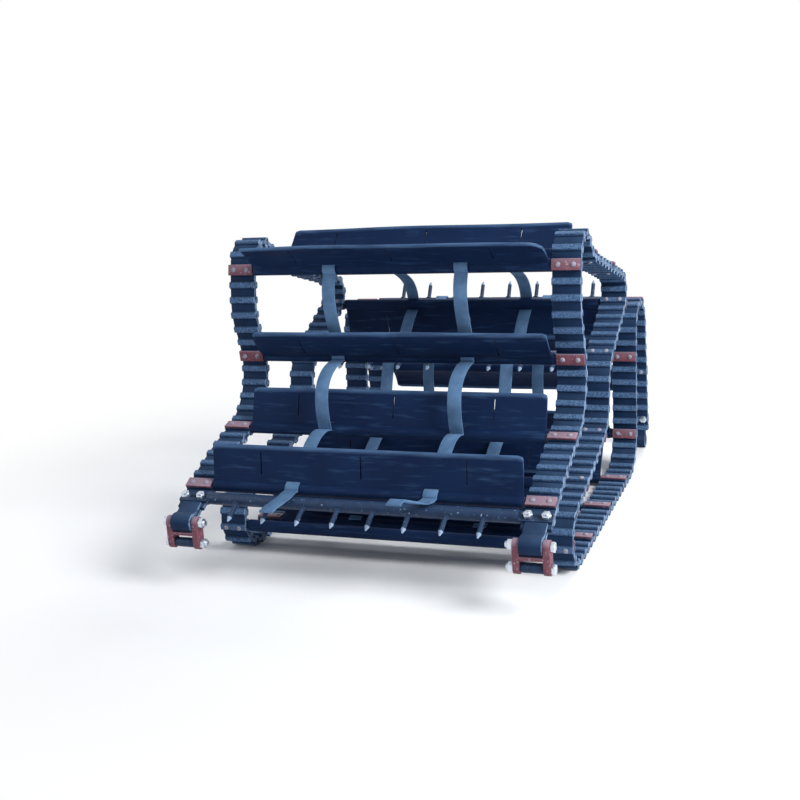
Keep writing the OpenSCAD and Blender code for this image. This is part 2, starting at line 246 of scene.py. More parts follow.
def new_piece(name, mesh, body, material=None, smooth_under=40):
    """An object at the origin that rides on a body and takes a finish."""
    piece = bpy.data.objects.new(name, mesh)
    scene.collection.objects.link(piece)
    mesh.shade_smooth()
    mesh.set_sharp_from_angle(angle=math.radians(smooth_under))
    if material:
        mesh.materials.clear()
        mesh.materials.append(material)
    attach(piece, body)
    return piece


print("tools ready")

# %% [markdown]
# ## Moulded belt rubber
# The belts are black rubber with a blue cast, pressed hot in a steel mould. The skin is matt and slightly
# uneven and soil dust stays in it. The flanks and the tops of the cogs are painted paler, partly as rubbing
# by the guides and drive wheels and partly as a painted highlight. Dust is a soft noise that is stronger on
# faces that look up, the flanks are the faces that look along X, and the pale cog tops read an attribute
# that each cog carries, so they stay on the cogs wherever the belt bends.

# %% Moulded belt rubber


def moulded_belt_rubber():
    material, tree, place = new_material("moulded_belt_rubber", Roughness=0.62, IOR=1.5,
                                         Specular_IOR_Level=0.1)
    cloud = add(tree, "ShaderNodeTexNoise", {"Vector": place, "Scale": per_mm(55), "Detail": 4.0})
    grain = add(tree, "ShaderNodeTexNoise", {"Vector": place, "Scale": per_mm(3), "Detail": 5.0})
    skin = add(tree, "ShaderNodeMix", {0: cloud, 6: linear("#0a1a35"), 7: linear("#1b3454")},
               data_type="RGBA")
    # Cog tops painted paler, partly as rubbed rubber and partly as a painted highlight
    wear_and_highlight = add(tree, "ShaderNodeAttribute", attribute_name="wear_and_highlight")
    patch = add(tree, "ShaderNodeMapRange", {0: grain, 1: 0.38, 2: 0.62, 3: 0.25, 4: 1.0})
    rub_and_highlight = add(tree, "ShaderNodeMath", {0: wear_and_highlight.outputs["Fac"], 1: patch}, operation="MULTIPLY")
    rubbed_and_highlighted = add(tree, "ShaderNodeMix", {0: rub_and_highlight, 6: skin.outputs[2], 7: linear("#56749a")}, data_type="RGBA")
    facing = add(tree, "ShaderNodeSeparateXYZ", {0: add(tree, "ShaderNodeNewGeometry").outputs["Normal"]})
    up = add(tree, "ShaderNodeMapRange", {0: facing.outputs[2], 1: 0.2, 2: 1.0, 3: 0.0, 4: 0.26})
    dust = add(tree, "ShaderNodeMath", {0: up, 1: cloud}, operation="MULTIPLY")
    dusty = add(tree, "ShaderNodeMix", {0: dust, 6: rubbed_and_highlighted.outputs[2], 7: linear("#6a87a9")},
                data_type="RGBA")
    # Flanks painted paler, partly as scraped cut edges and partly as a painted highlight
    scrape = add(tree, "ShaderNodeTexNoise", {"Vector": place, "Scale": per_mm(12), "Detail": 5.0})
    rough = add(tree, "ShaderNodeMapRange", {0: scrape, 1: 0.35, 2: 0.62, 3: 0.1, 4: 1.0})
    sideways = add(tree, "ShaderNodeMath", {0: facing.outputs[0]}, operation="ABSOLUTE")
    flank = add(tree, "ShaderNodeMapRange", {0: sideways, 1: 0.6, 2: 0.9, 3: 0.0, 4: 0.75})
    scraped_and_highlighted = add(tree, "ShaderNodeMath", {0: flank, 1: rough}, operation="MULTIPLY")
    edged = add(tree, "ShaderNodeMix", {0: scraped_and_highlighted, 6: dusty.outputs[2], 7: linear("#86a0c0")},
                data_type="RGBA")
    bump = add(tree, "ShaderNodeBump", {"Height": grain, "Strength": 0.35, "Distance": 0.6 * MM})
    return wired(material, Base_Color=edged.outputs[2], Normal=bump.outputs[0])


belt_rubber = moulded_belt_rubber()
print(belt_rubber.name)

# %% [markdown]
# ## Calendered flap rubber
# The flaps are cut from smooth sheet rubber, rolled between steel rolls. It is darker than the belts,
# with a faint sheen and long scuffs along the flap where haulm has slid over it, so the scuff noise is
# stretched along X. The free edge is rubbed pale. Each flap carries that in its `rim` attribute, so the
# wear follows the edge however the flap is rolled.

# %% Calendered flap rubber


def calendered_flap_rubber():
    material, tree, place = new_material("calendered_flap_rubber", IOR=1.5, Specular_IOR_Level=0.08)
    along = add(tree, "ShaderNodeMapping", {0: place, 3: (0.12, 1, 1)})
    scuff = add(tree, "ShaderNodeTexNoise", {"Vector": along, "Scale": per_mm(9), "Detail": 6.0})
    cloud = add(tree, "ShaderNodeTexNoise", {"Vector": place, "Scale": per_mm(120), "Detail": 3.0})
    skin = add(tree, "ShaderNodeMix", {0: cloud, 6: linear("#071531"), 7: linear("#142b4f")},
               data_type="RGBA")
    marks = add(tree, "ShaderNodeMapRange", {0: scuff, 1: 0.56, 2: 0.75, 3: 0.0, 4: 0.4})
    marked = add(tree, "ShaderNodeMix", {0: marks, 6: skin.outputs[2], 7: linear("#38557b")},
                 data_type="RGBA")
    rim = add(tree, "ShaderNodeAttribute", attribute_name="rim")
    patch = add(tree, "ShaderNodeMapRange", {0: scuff, 1: 0.3, 2: 0.6, 3: 0.35, 4: 0.9})
    rub_and_highlight = add(tree, "ShaderNodeMath", {0: rim.outputs["Fac"], 1: patch}, operation="MULTIPLY")
    edged = add(tree, "ShaderNodeMix", {0: rub_and_highlight, 6: marked.outputs[2], 7: linear("#4a678c")},
                data_type="RGBA")
    gloss = add(tree, "ShaderNodeMapRange", {0: scuff, 3: 0.45, 4: 0.7})
    bump = add(tree, "ShaderNodeBump", {"Height": scuff, "Strength": 0.2, "Distance": 0.5 * MM})
    return wired(material, Base_Color=edged.outputs[2], Roughness=gloss.outputs[0], Normal=bump.outputs[0])


flap_rubber = calendered_flap_rubber()
print(flap_rubber.name)

# %% [markdown]
# ## Woven strap
# The straps are rubberised webbing. Its threads are finer than a pixel here, so they are drawn 2.4 mm
# apart, as coarse as they need to be to show. A picture of a weave would have to be unrolled onto the
# strap. Two waves make it instead, one on the `along` attribute that the strap carries and one on X,
# which runs across it, so the threads follow every bow.

# %% Woven strap


def rubberised_webbing():
    material, tree, place = new_material("rubberised_webbing", Roughness=0.7, IOR=1.5,
                                         Specular_IOR_Level=0.12)
    thread = 2 * math.pi * per_mm(2.4)
    along = add(tree, "ShaderNodeAttribute", attribute_name="along")
    across = add(tree, "ShaderNodeSeparateXYZ", {0: place})
    waves = []
    for distance in (along.outputs["Fac"], across.outputs[0]):
        turns = add(tree, "ShaderNodeMath", {0: distance, 1: thread}, operation="MULTIPLY")
        waves.append(add(tree, "ShaderNodeMath", {0: turns}, operation="SINE"))
    weave = add(tree, "ShaderNodeMath", {0: waves[0], 1: waves[1]}, operation="MULTIPLY")
    cloud = add(tree, "ShaderNodeTexNoise", {"Vector": place, "Scale": per_mm(30), "Detail": 4.0})
    tone = add(tree, "ShaderNodeMapRange", {0: weave, 1: -1.0, 2: 1.0, 3: 0.0, 4: 0.35})
    mixed = add(tree, "ShaderNodeMath", {0: cloud, 1: tone}, operation="ADD")
    skin = add(tree, "ShaderNodeMix", {0: mixed, 6: linear("#1f3857"), 7: linear("#6285ab")},
               data_type="RGBA")
    bump = add(tree, "ShaderNodeBump", {"Height": weave, "Strength": 0.4, "Distance": 0.4 * MM})
    return wired(material, Base_Color=skin.outputs[2], Normal=bump.outputs[0])


strap_webbing = rubberised_webbing()
print(strap_webbing.name)

# %% [markdown]
# ## Steel finishes
# Four finishes cover the steel. The bars and fingers are rolled steel under a thin dark coat, the
# links and clamp plates wear red oxide paint that has gone dull and chipped, the bolts and nuts are
# bright zinc plate, and the rivets have lost their shine. The chips are a noise with a hard edge, soil
# dust lies on the faces that look up, and pale bare steel is painted where a piece carries the tip
# attribute, as wear and as a painted highlight.

# %% Steel finishes


def coated_steel(name, dark, light, bare, chip, roughness, dust, dust_share, metallic=0.0):
    """Painted or plated steel with cloudy colour and chips of what lies under the coat."""
    material, tree, place = new_material(name, Roughness=roughness, Metallic=metallic,
                                         Specular_IOR_Level=0.5 if metallic else 0.2)
    cloud = add(tree, "ShaderNodeTexNoise", {"Vector": place, "Scale": per_mm(18), "Detail": 4.0})
    fleck = add(tree, "ShaderNodeTexNoise", {"Vector": place, "Scale": per_mm(5), "Detail": 6.0})
    coat = add(tree, "ShaderNodeMix", {0: cloud, 6: linear(dark), 7: linear(light)}, data_type="RGBA")
    chips = add(tree, "ShaderNodeMapRange", {0: fleck, 1: chip, 2: chip + 0.06})
    chipped = add(tree, "ShaderNodeMix", {0: chips, 6: coat.outputs[2], 7: linear(bare)}, data_type="RGBA")
    # Bare steel where the attribute is set, on the finger tips: wear and a painted highlight
    wear_and_highlight = add(tree, "ShaderNodeAttribute", attribute_name="wear_and_highlight")
    rubbed_and_highlighted = add(tree, "ShaderNodeMix", {0: wear_and_highlight.outputs["Fac"], 6: chipped.outputs[2], 7: linear(bare)},
                 data_type="RGBA")
    facing = add(tree, "ShaderNodeSeparateXYZ", {0: add(tree, "ShaderNodeNewGeometry").outputs["Normal"]})
    up = add(tree, "ShaderNodeMapRange", {0: facing.outputs[2], 1: 0.0, 2: 0.8, 3: 0.0, 4: dust_share})
    dusty = add(tree, "ShaderNodeMix", {0: up, 6: rubbed_and_highlighted.outputs[2], 7: linear(dust)}, data_type="RGBA")
    bump = add(tree, "ShaderNodeBump", {"Height": fleck, "Strength": 0.15, "Distance": 0.3 * MM})
    return wired(material, Base_Color=dusty.outputs[2], Normal=bump.outputs[0])


bar_steel = coated_steel("coated_bar_steel", "#0c1b35", "#1f3857", bare="#8ba0bb", chip=0.66,
                         roughness=0.45, dust="#4a6282", dust_share=0.15)
red_paint = coated_steel("red_oxide_paint", "#53323f", "#82505c", bare="#a08d99", chip=0.62,
                         roughness=0.55, dust="#9b8a9a", dust_share=0.65)
zinc_plate = coated_steel("bright_zinc_plate", "#b4c0cd", "#dfe6ee", bare="#8c9aab", chip=0.62,
                          roughness=0.32, dust="#a9b6c6", dust_share=0.2, metallic=0.9)
rivet_steel = coated_steel("dull_rivet_steel", "#6c6a7c", "#a3a3b2", bare="#5c4650", chip=0.6,
                           roughness=0.5, dust="#9b93a3", dust_share=0.5)
print([m.name for m in (bar_steel, red_paint, zinc_plate, rivet_steel)])

# %% [markdown]
# ## Geometry Nodes trees
# What follows the line or repeats along it is grown by Geometry Nodes. A seed mesh goes in, either a
# line of points in side view or loose points with an `out` direction, and named inputs give the sizes.
# Each tree ends in Realize Instances and Set Material. The result is taken as a plain mesh, and lines
# drawn in side view are then stood up across the web.

# %% Geometry Nodes tools


def geometry_tree(title, floats=(), whole=()):
    """Start a tree; its inputs are the geometry, the sizes and the finish."""
    tree = bpy.data.node_groups.new(title, "GeometryNodeTree")
    tree.interface.new_socket("Geometry", in_out="OUTPUT", socket_type="NodeSocketGeometry")
    kinds = [("Geometry", "Geometry")] + [(n, "Float") for n in floats] + [(n, "Int") for n in whole]
    for name, kind in kinds + [("Finish", "Material")]:
        tree.interface.new_socket(name, in_out="INPUT", socket_type="NodeSocket" + kind)
    return tree, tree.nodes.new("NodeGroupInput").outputs


def end_tree(tree, geometry, finish):
    """Make instances real, give them their finish and close the tree."""
    plain = add(tree, "GeometryNodeRealizeInstances", {0: geometry})
    painted = add(tree, "GeometryNodeSetMaterial", {"Geometry": plain, "Material": finish})
    add(tree, "NodeGroupOutput", {0: painted})
    return tree


def applied(carrier):
    """The mesh of an object with its modifiers applied."""
    graph = bpy.context.evaluated_depsgraph_get()
    return bpy.data.meshes.new_from_object(carrier.evaluated_get(graph))


def grown(tree, seed, **sizes):
    """Run a tree on a seed mesh and return the plain mesh it makes."""
    carrier = bpy.data.objects.new("seed", seed)
    scene.collection.objects.link(carrier)
    modifier = carrier.modifiers.new("grow", "NODES")
    modifier.node_group = tree
    sockets = {s.name: s.identifier for s in tree.interface.items_tree if s.in_out == "INPUT"}
    for name, value in sizes.items():
        modifier[sockets[name.replace("_", " ")]] = value
    mesh = applied(carrier)
    bpy.data.objects.remove(carrier)
    return mesh


def line_seed(points):
    """A line of (y, z) points as edges in the XY plane."""
    mesh = bpy.data.meshes.new("line")
    edges = [(i, i + 1) for i in range(len(points) - 1)]
    mesh.from_pydata([(y, z, 0) for y, z in points], edges, [])
    return mesh


def point_seed(points):
    """Loose points, each with the direction it faces."""
    mesh = bpy.data.meshes.new("points")
    mesh.from_pydata([place for place, out in points], [], [])
    attribute = mesh.attributes.new("out", "FLOAT_VECTOR", "POINT")
    attribute.data.foreach_set("vector", [c for place, out in points for c in out])
    return mesh


def stand_up(x):
    """Stand a side view up across the web: its XY plane becomes YZ, moved to x."""
    return Matrix(((0, 0, 1, x), (1, 0, 0, 0), (0, 1, 0, 0), (0, 0, 0, 1)))


print("geometry tools ready")

# %% [markdown]
# ## Cogged belts
# A belt is a flat core with cogs moulded on both faces, six to a bay. The outer face has a bare land
# at each bar. An array of cogs bent along a curve would shear them, so the tree sweeps a rounded rectangle
# along the line for the core, and sets out one rounded trapezium per cog at equal distances. Each cog is
# turned to the line by its tangent, so the belt stays true in every bend, and keeps its height in an
# attribute that paints its top paler, as wear and as a painted highlight.

# %% Core and cog
BELT_W = 60 * MM
BELT_BASE = 10 * MM
BELT_EDGE = 1.2 * MM
COG_H = 6 * MM
COG_TOP = 11 * MM
COG_ROOT = 19 * MM
COG_ROUND = 1.6 * MM
COG_SINK = 2 * MM
WELD_GAP = 0.01 * MM


def ribbon(tree, line, width, thickness, edge):
    """Sweep a rounded rectangle along a line in the XY plane, with its width along Z."""
    level = add(tree, "GeometryNodeSetCurveNormal", {0: line}, mode="Z_UP")
    length = add(tree, "GeometryNodeSplineParameter")
    marked = add(tree, "GeometryNodeStoreNamedAttribute", {"Geometry": level, "Name": "along",
                 "Value": length.outputs["Length"]}, data_type="FLOAT", domain="POINT")
    outline = add(tree, "GeometryNodeCurvePrimitiveQuadrilateral", {"Width": thickness, "Height": width})
    soft = add(tree, "GeometryNodeFilletCurve", {"Curve": outline, "Radius": edge, "Count": 2}, mode="POLY")
    return add(tree, "GeometryNodeCurveToMesh", {"Curve": marked, "Profile Curve": soft, "Fill Caps": True})


def cog_shape(tree, size, height):
    """A rounded trapezium as wide as the belt, paler towards its top as wear and a painted highlight."""
    outline = add(tree, "GeometryNodeCurvePrimitiveQuadrilateral", {
        "Bottom Width": size["Cog root"], "Top Width": size["Cog top"], "Height": height, "Offset": 0.0},
        mode="TRAPEZOID")
    soft = add(tree, "GeometryNodeFilletCurve", {"Curve": outline, "Radius": COG_ROUND, "Count": 3},
               mode="POLY")
    face = add(tree, "GeometryNodeFillCurve", {0: soft})
    lifted = add(tree, "GeometryNodeExtrudeMesh", {"Mesh": face, "Offset": (0, 0, 1),
                 "Offset Scale": size["Width"], "Individual": False})
    base = add(tree, "GeometryNodeFlipFaces", {0: face})
    both = add(tree, "GeometryNodeJoinGeometry", {0: base})
    tree.links.new(lifted.outputs[0], both.inputs[0])
    closed = add(tree, "GeometryNodeMergeByDistance", {"Geometry": both, "Distance": WELD_GAP})
    y = add(tree, "ShaderNodeSeparateXYZ", {0: add(tree, "GeometryNodeInputPosition")}).outputs[1]
    share = add(tree, "ShaderNodeMath", {0: y, 1: height}, operation="DIVIDE")
    wear_and_highlight = add(tree, "ShaderNodeMapRange", {0: share, 1: 0.1, 2: 0.5, 3: 0.0, 4: 1.0})
    half = add(tree, "ShaderNodeMath", {0: size["Width"], 1: -0.5}, operation="MULTIPLY")
    to_middle = add(tree, "ShaderNodeCombineXYZ", {2: half})
    centred = add(tree, "GeometryNodeTransform", {"Geometry": closed, "Translation": to_middle})
    return add(tree, "GeometryNodeStoreNamedAttribute", {"Geometry": centred, "Name": "wear_and_highlight",
               "Value": wear_and_highlight}, data_type="FLOAT", domain="POINT")


print("core %.0f by %.0f mm, cogs %.0f mm high" % (BELT_W / MM, BELT_BASE / MM, COG_H / MM))

# %% Cogged belt tree
# Number, counted from 0 in each bay, of the cog that the bar's land takes the place of
BAR_COG = 1.0


def cogged_belt_tree():
    tree, size = geometry_tree("cogged belt", ("Width", "Base", "Cog height", "Cog top", "Cog root",
                               "Cog pitch", "First cog"), ("Cogs", "Cogs per bay"))
    line = add(tree, "GeometryNodeMeshToCurve", {0: size["Geometry"]})
    core = ribbon(tree, line, size["Width"], size["Base"], BELT_EDGE)
    height = add(tree, "ShaderNodeMath", {0: size["Cog height"], 1: COG_SINK}, operation="ADD")
    cog = cog_shape(tree, size, height)
    index = add(tree, "GeometryNodeInputIndex")
    distance = add(tree, "ShaderNodeMath", {0: index, 1: size["Cog pitch"], 2: size["First cog"]},
                   operation="MULTIPLY_ADD")
    sample = add(tree, "GeometryNodeSampleCurve", {"Curves": line, "Length": distance}, mode="LENGTH")
    left = add(tree, "ShaderNodeVectorMath", {0: (0, 0, 1), 1: sample.outputs["Tangent"]},
               operation="CROSS_PRODUCT")
    half = add(tree, "ShaderNodeMath", {0: size["Cog height"], 1: size["Base"]}, operation="ADD")
    lift = add(tree, "ShaderNodeMath", {0: half, 1: 0.5, 2: -COG_SINK / 2}, operation="MULTIPLY_ADD")
    in_bay = add(tree, "ShaderNodeMath", {0: index, 1: size["Cogs per bay"]}, operation="MODULO")
    off_bar = add(tree, "FunctionNodeCompare", {0: in_bay, 1: BAR_COG, "Epsilon": 0.1},
                  data_type="FLOAT", operation="NOT_EQUAL")
    whole = add(tree, "GeometryNodeJoinGeometry", {0: core})
    for face in (1, -1):
        out = add(tree, "ShaderNodeVectorMath", {0: left, "Scale": float(face)}, operation="SCALE")
        raised = add(tree, "ShaderNodeVectorMath", {0: out, "Scale": lift}, operation="SCALE")
        place = add(tree, "ShaderNodeVectorMath", {0: raised, 1: sample.outputs["Position"]},
                    operation="ADD")
        turned = add(tree, "FunctionNodeAxesToRotation", {0: sample.outputs["Tangent"], 1: out},
                     primary_axis="X", secondary_axis="Y")
        points = add(tree, "GeometryNodePoints", {"Count": size["Cogs"], "Position": place})
        row = add(tree, "GeometryNodeInstanceOnPoints", {"Points": points, "Instance": cog,
                  "Rotation": turned})
        if face > 0:
            tree.links.new(off_bar.outputs[0], row.inputs["Selection"])
        tree.links.new(row.outputs[0], whole.inputs[0])
    return end_tree(tree, whole, size["Finish"])


belt_tree = cogged_belt_tree()
print(belt_tree.name, "with", len(belt_tree.nodes), "nodes")

# %% Grow the belts
TONGUE_LEN = 38 * MM
LINE_STEP = 4 * MM
COGS_PER_BAY = 6
cog_pitch = BAY / COGS_PER_BAY
first_cog = FIRST_BAR - cog_pitch
cogs = BAR_COUNT * COGS_PER_BAY + 1


def line_points(start, end):
    """Points on the line at equal steps of about LINE_STEP."""
    count = round((end - start) / LINE_STEP)
    return [off(start + (end - start) * i / count, 0) for i in range(count + 1)]


for hand, x in belt_x.items():
    mesh = grown(belt_tree, line_seed(line_points(TONGUE_LEN, WEB_LEN - TONGUE_LEN)),
                 Width=BELT_W, Base=BELT_BASE, Cog_height=COG_H, Cog_top=COG_TOP, Cog_root=COG_ROOT,
                 Cog_pitch=cog_pitch, First_cog=first_cog - TONGUE_LEN, Cogs=cogs,
                 Cogs_per_bay=COGS_PER_BAY, Finish=belt_rubber)
    mesh.transform(stand_up(x))
    belt = new_piece(hand + "_cogged_belt", mesh, "web")
    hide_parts(hand + "_belt")
    print(belt.name, len(mesh.polygons), "faces")

# %% [markdown]
# ## Belt tongues
# At each end the belt is thinned to a tongue that loops round a bush and is clamped back on itself. It
# could be bent from a flat mesh, but a strip swept on its own line keeps its thickness all round the
# loop. The straps are flat strips on a line too, so one small tree serves both.

# %% Strip tree


def strip_tree():
    tree, size = geometry_tree("flat strip", ("Width", "Thickness", "Edge"))
    line = add(tree, "GeometryNodeMeshToCurve", {0: size["Geometry"]})
    strip = ribbon(tree, line, size["Width"], size["Thickness"], size["Edge"])
    return end_tree(tree, strip, size["Finish"])


flat_strip = strip_tree()
print(flat_strip.name)

# %% Belt tongues
TONGUE_W = 44 * MM
TONGUE_T = 8 * MM
TONGUE_EDGE = 1.5 * MM
TONGUE_HALF = 5.5 * MM
PINCH = 19 * MM
LOOP_STEPS = 24
loop_r = EYE_R - TONGUE_T / 2


def tongue_line(end):
    """The tongue's line: in along the outer face, round the bush and back; end is 1 or -1."""
    pin_s = 0 if end > 0 else WEB_LEN
    y, z, heading = at(pin_s)
    a = math.radians(heading)
    touch = math.atan2(TONGUE_HALF, PINCH) + math.acos(loop_r / math.hypot(PINCH, TONGUE_HALF))
    local = [(TONGUE_LEN + COG_TOP, TONGUE_HALF), (PINCH, TONGUE_HALF)]
    for i in range(LOOP_STEPS + 1):
        turn = touch + 2 * (math.pi - touch) * i / LOOP_STEPS
        local.append((loop_r * math.cos(turn), loop_r * math.sin(turn)))
    local += [(PINCH, -TONGUE_HALF), (TONGUE_LEN + COG_TOP, -TONGUE_HALF)]
    return [(y + end * u * math.cos(a) - n * math.sin(a), z + end * u * math.sin(a) + n * math.cos(a))
            for u, n in local]


for hand, x in belt_x.items():
    for part, end in (("front", 1), ("tail", -1)):
        mesh = grown(flat_strip, line_seed(tongue_line(end)), Width=TONGUE_W, Thickness=TONGUE_T,
                     Edge=TONGUE_EDGE, Finish=belt_rubber)
        mesh.transform(stand_up(x))
        new_piece(f"{hand}_{part}_tongue", mesh, "web")
print("tongues on", list(belt_x))

# %% [markdown]
# ## Straps
# Two narrow straps run over the flap bosses and bow out between the bars. They could be draped by a
# simulation, but a stiff strap bows in much the same way each time, so its line is worked out bar by bar.
# It lies on a boss from where it arrives to where it leaves, and bows to the next. Where the web folds in
# on itself, the strap leaves backwards. The loose front ends stand up and to one side.

# %% Where a strap lies on the bars
ROD_N = 8 * MM
BOSS_R = 13 * MM
STRAP_T = 4 * MM
STRAP_GAP = 0.3 * MM
# Angles on a boss, in degrees from the way of travel
STRAP_OFF = 30
LEAST_OFF = 20
FOLDED_OFF = 150
STRAP_ON = 145
OUTWARD = 90
# Turn of the web in one bay, past which it folds in on itself
INWARD_TURN = 80
boss_n = BOSS_R + STRAP_T / 2 + STRAP_GAP


def around(k, angle):
    """A point of the strap on the boss of bar k, as (y, z)."""
    y, z = off(station(k), ROD_N)
    a = math.radians(at(station(k))[2] + angle)
    return Vector((y + boss_n * math.cos(a), z + boss_n * math.sin(a)))


def turn_at(k, i):
    """Turn from the way of travel at bar k to the straight way from bar i to the next."""
    y0, z0, _ = at(station(i))
    y1, z1, _ = at(station(i + 1))
    a = math.degrees(math.atan2(z1 - z0, y1 - y0)) - at(station(k))[2]
    return a - 360 * round(a / 360)


def folds_in(k):
    return at(station(k + 1))[2] - at(station(k))[2] > INWARD_TURN


def leave(k):
    """Angle at which the strap leaves the boss of bar k."""
    turn = turn_at(k, k)
    if folds_in(k):
        return FOLDED_OFF
    return max(STRAP_OFF - turn, LEAST_OFF) if turn > 0 else min(STRAP_OFF, OUTWARD + turn)


def arrive(k):
    """Angle at which the strap comes onto the boss of bar k."""
    turn = turn_at(k, k - 1) if k > 1 else 0
    return max(STRAP_ON, OUTWARD + turn) if turn > 0 else max(OUTWARD, STRAP_ON + turn)


print("the web folds in after bars", [k for k in range(1, BAR_COUNT) if folds_in(k)])

# %% The line of a strap
STRAP_SLACK = 12 * MM
BOW_LIMIT = BAY / 10
FLAT_TURN = 40
BOW_SHARES = [0.08 + 0.035 * i for i in range(25)]
OVER_STEP = 10


def arch(u, even):
    """Height of a bow at a share of its span, from 0 to 1; an uneven one is highest past its middle."""
    return 4 * u * (1 - u) if even else 6.75 * u * u * (1 - u)


def bow(k):
    """The strap between bar k and the next. An arch h high on a span c is 8 h h / 3 c longer than c."""
    a = around(k, leave(k))
    d = around(k + 1, arrive(k + 1)) - a
    c = d.length
    h = math.sqrt(3 / 8 * c * max(BAY + STRAP_SLACK - c, MM))
    if not folds_in(k):
        h = min(h, BOW_LIMIT) * (1 - min(max(turn_at(k, k), 0), FLAT_TURN) / FLAT_TURN)
    n = Vector((-d.y, d.x)) / c * h
    return [a + d * u + n * arch(u, folds_in(k)) for u in BOW_SHARES]


def over(k, last):
    """The strap on the boss of bar k, from where it arrives to the angle at which it leaves."""
    sweep = max(arrive(k) - last, 0)
    count = math.ceil(sweep / OVER_STEP)
    return [around(k, last + sweep * i / max(count, 1)) for i in range(count, -1, -1)]


print("bow between bars 1 and 2:", len(bow(1)), "points")

# %% Grow the straps
STRAP_W = 30 * MM
STRAP_X = 150 * MM
STRAP_EDGE = 1 * MM
STRAP_LENGTHS = [(1, 10), (12, BAR_COUNT)]
CLAMP_S = 62 * MM
TUBE_R = 13 * MM
# Loose front ends: the lift of each point in mm from the tip inwards, and the sideways drift of the tip
FREE_LIFTS = {"left": (12, 9, 6, 3, 0), "right": (56, 54, 32, 11, 0)}
FREE_DRIFTS = {"left": -22 * MM, "right": -38 * MM}
FREE_FROM = 0.15
FREE_STEP = 0.25


def free_end(lifts):
    """The loose end of a strap, from its tip to the end bar."""
    base = ROD_N + TUBE_R + STRAP_T
    return [Vector(off(CLAMP_S * (FREE_FROM + FREE_STEP * i), base + lift * MM))
            for i, lift in enumerate(lifts)]


def drift_free_end(mesh, tip, root, drift):
    """Push the loose end of a strap sideways, more towards its tip."""
    for vertex in mesh.vertices:
        share = min(max((root - vertex.co.y) / (root - tip), 0), 1)
        vertex.co.x += drift * share * share * (3 - 2 * share)


for hand, side in (("left", -1), ("right", 1)):
    for part, (first, last) in zip(("front", "rear"), STRAP_LENGTHS):
        loose = free_end(FREE_LIFTS[hand]) if part == "front" else []
        line = loose + [point for k in range(first, last) for point in over(k, leave(k)) + bow(k)]
        mesh = grown(flat_strip, line_seed(line + over(last, STRAP_OFF)), Width=STRAP_W, Thickness=STRAP_T,
                     Edge=STRAP_EDGE, Finish=strap_webbing)
        mesh.transform(stand_up(side * STRAP_X))
        if loose:
            drift_free_end(mesh, loose[0].x, loose[-1].x, FREE_DRIFTS[hand])
        strap = new_piece(f"{hand}_{part}_strap", mesh, "web")
        if part == "front":
            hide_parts(hand + "_strap")
print("straps in", len(STRAP_LENGTHS), "lengths on each side")

# %% [markdown]
# ## Flaps
# A flap is a thick tapered blade moulded round its bar, with three slits that let it give. The blank is
# made once, as a cross-section repeated along the bar, and a Boolean cuts the slits and the strap slots.
# Each flap is then a copy, set on its bar. Rubber never lies flat, so each copy gets a few soft waves
# and is rolled about its foot, a few degrees on most flaps and more on those that the heap pushes over.
# A cloth simulation would do the same, but a thick flap moves little, and a roll is easier to match.

# %% Flap section
FLAP_W = 670 * MM
FLAP_REACH = 90 * MM
FLAP_FOOT = 10 * MM
FLAP_EDGE = 6 * MM
FLAP_ROWS = 10
BOSS_STEPS = 20
TIP_STEPS = 6


def flap_section():
    """Closed outline of boss and blade as (thickness, reach) points."""
    foot = math.asin(FLAP_FOOT / 2 / BOSS_R)
    boss = [(BOSS_R * math.sin(a), BOSS_R * math.cos(a))
            for a in [foot + (2 * math.pi - 2 * foot) * i / BOSS_STEPS for i in range(BOSS_STEPS + 1)]]
    start = BOSS_R * math.cos(foot)
    tip_r = FLAP_EDGE / 2
    side = []
    for i in range(1, FLAP_ROWS + 1):
        v = start + (FLAP_REACH - tip_r - start) * i / FLAP_ROWS
        half = FLAP_FOOT / 2 + (FLAP_EDGE - FLAP_FOOT) / 2 * v / FLAP_REACH
        side.append((half, v))
    tip = [(tip_r * math.cos(a), FLAP_REACH - tip_r + tip_r * math.sin(a))
           for a in [math.pi - math.pi * i / TIP_STEPS for i in range(1, TIP_STEPS)]]
    return boss + [(-t, v) for t, v in side] + tip + side[::-1]


print("flap section:", len(flap_section()), "points")

# %% Flap blank
FLAP_COLUMNS = 72
END_INSET = 1.2 * MM
END_SHARE = 0.95
SLIT_W = 3 * MM
SLIT_FROM = 0.32
SLIT_TO = 0.84
SLOT_PLAY = 1.2 * MM
RIM = 3.5 * MM


def lofted(sections):
    """Join equal closed outlines into a closed mesh."""
    shape = bmesh.new()
    rings = [[shape.verts.new(p) for p in points] for points in sections]
    for a, b in zip(rings, rings[1:]):
        for i in range(len(a)):
            j = (i + 1) % len(a)
            shape.faces.new((a[i], a[j], b[j], b[i]))
    shape.faces.new(rings[0][::-1])
    shape.faces.new(rings[-1])
    bmesh.ops.recalc_face_normals(shape, faces=shape.faces)
    return shape


def as_mesh(shape, name):
    mesh = bpy.data.meshes.new(name)
    shape.to_mesh(mesh)
    shape.free()
    return mesh


def flap_knife():
    """Boxes that cut the slits and the slots for the straps."""
    cutter = bmesh.new()
    slit = (SLIT_W, FLAP_REACH * SLIT_FROM, FLAP_REACH * SLIT_TO)
    slot = (STRAP_W + SLOT_PLAY, BOSS_R + STRAP_GAP, BOSS_R + STRAP_T + MM)
    cuts = [(share * FLAP_W, *slit) for share in (-1 / 3, 0, 1 / 3)]
    cuts += [(x, *slot) for x in (-STRAP_X, STRAP_X)]
    for x, width, low, high in cuts:
        size = Matrix.Diagonal((width, 2 * FLAP_FOOT, high - low, 1))
        bmesh.ops.create_cube(cutter, size=1, matrix=Matrix.Translation((x, 0, (low + high) / 2)) @ size)
    return as_mesh(cutter, "flap_knife")


